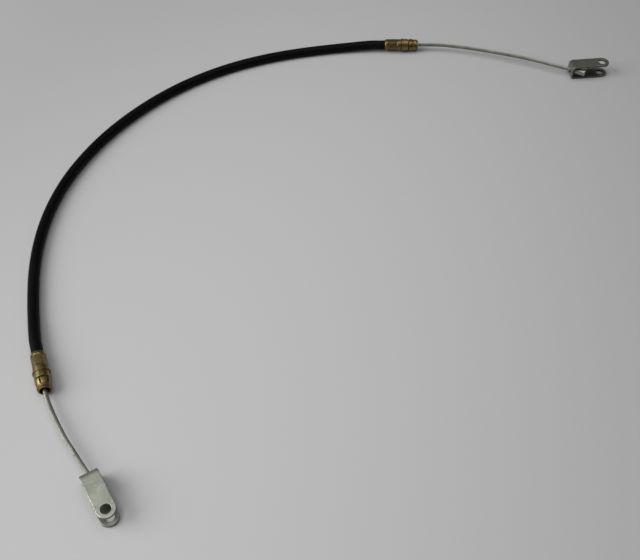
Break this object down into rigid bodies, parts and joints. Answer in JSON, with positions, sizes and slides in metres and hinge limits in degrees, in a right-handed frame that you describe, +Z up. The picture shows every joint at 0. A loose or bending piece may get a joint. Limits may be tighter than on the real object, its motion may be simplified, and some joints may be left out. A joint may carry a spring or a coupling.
{
  "type": "parking brake cable",
  "caption": "Parking brake cable: a black sheathed casing with snap-in end fittings, and a wire rope sliding through it that carries a bent-strap clevis on each end.",
  "frame": {"origin": "middle of the footprint's box, on the floor plane the cable lies on", "axes": "+Z up from the floor; +X from the end fitting nearer the viewer towards the far clevis; +Y away from the viewer"},
  "size_m": [0.5248, 0.53, 0.014],
  "materials": {
    "black_sheathing": "satin extruded plastic",
    "armour_steel": "plain wound steel",
    "liner_plastic": "smooth natural plastic",
    "rope_steel": "stranded galvanised wire, lightly greased",
    "yellow_zinc": "yellow passivated zinc plating with a green and red sheen",
    "grey_zinc": "pale zinc plating, slightly greenish"
  },
  "bodies": {
    "casing": {"casing_sheath": "black_sheathing", "casing_armour": "armour_steel", "casing_liner": "liner_plastic", "rope_in_casing": "rope_steel", "near_end_fitting": "yellow_zinc", "near_prong_clip": "yellow_zinc", "far_end_fitting": "yellow_zinc", "far_prong_clip": "yellow_zinc"},
    "near_rope": {"near_rope_end": "rope_steel", "near_rope_stop": "grey_zinc"},
    "near_yoke": {"near_clevis": "grey_zinc"},
    "far_rope": {"far_rope_end": "rope_steel", "far_rope_stop": "grey_zinc"},
    "far_yoke": {"far_clevis": "grey_zinc"}
  },
  "joints": [
    {"name": "near_rope_slide", "type": "slide", "parent": "casing", "child": "near_rope", "axis": [0.3502, -0.9367, 0], "range_m": [-0.015, 0.015]},
    {"name": "near_clevis_swivel", "type": "hinge", "parent": "near_rope", "child": "near_yoke", "pos_m": [-0.17844, -0.23227, 0.007], "axis": [0.6088, -0.7934, 0], "continuous": true},
    {"name": "far_rope_slide", "type": "slide", "parent": "casing", "child": "far_rope", "axis": [1, 0, 0], "range_m": [-0.015, 0.015]},
    {"name": "far_clevis_swivel", "type": "hinge", "parent": "far_rope", "child": "far_yoke", "pos_m": [0.22543, 0.21569, 0.007], "axis": [0.9135, -0.4067, 0], "continuous": true}
  ],
  "couplings": [
    {"joint": "far_rope_slide", "follows": "near_rope_slide", "ratio": -1}
  ]
}
